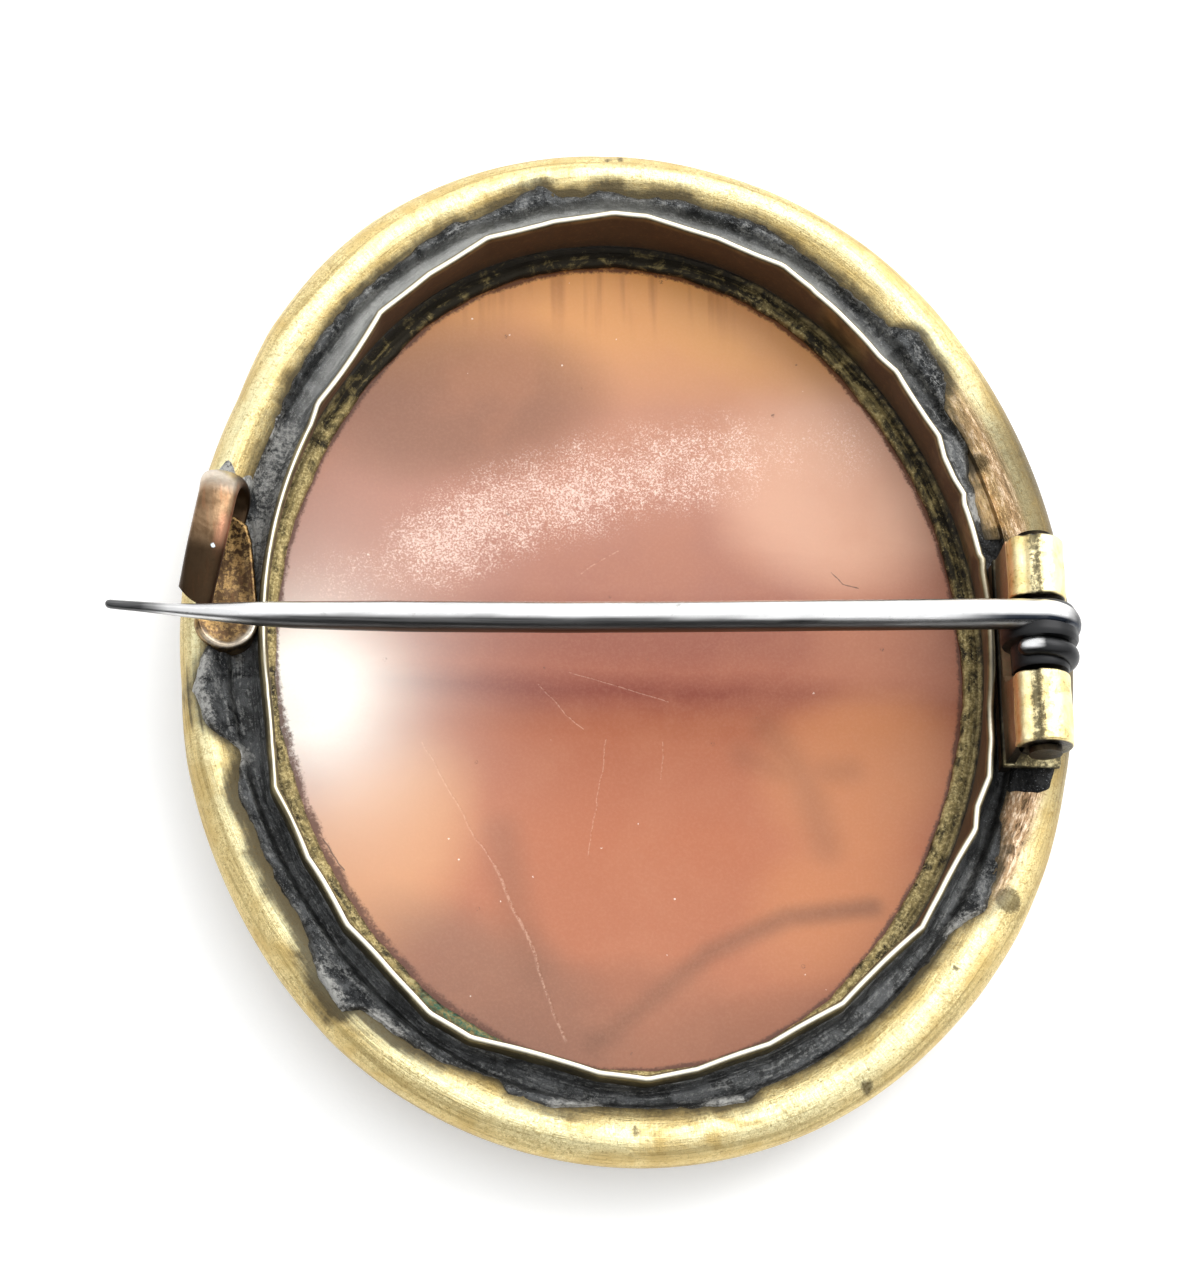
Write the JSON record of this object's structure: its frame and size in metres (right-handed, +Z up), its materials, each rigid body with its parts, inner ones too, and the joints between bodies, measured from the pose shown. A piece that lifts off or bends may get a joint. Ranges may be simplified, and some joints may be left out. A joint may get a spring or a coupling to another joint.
{
  "type": "cameo brooch",
  "caption": "Oval shell cameo set in a rimmed gilt brass frame, with a tube hinge, a long pin and a hook catch on its back; lies on its carved face.",
  "frame": {"origin": "centre of the oval, on the table plane that the front lip rests on", "axes": "+X along the pin from its point towards the hinge, +Y along the long axis of the oval, +Z up out of the brooch's back"},
  "size_m": [0.0365, 0.04, 0.0082],
  "materials": {
    "gilt_brass": "worn gilding over brass, with dark solder and scratches",
    "shell": "polished carved shell, pink and amber, slightly see-through",
    "pin_steel": "polished grey wire with fine scratches",
    "rivet_brass": "dull brass"
  },
  "bodies": {
    "brooch": {"frame": "gilt_brass", "cameo": "shell", "hinge_rivet": "rivet_brass"},
    "pin": {"pin_stem": "pin_steel"}
  },
  "joints": [
    {"name": "pin_swing", "type": "hinge", "parent": "brooch", "child": "pin", "pos_m": [0.0151, -0.00057, 0.00656], "axis": [0, 1, 0], "range_deg": [0, 110]}
  ]
}
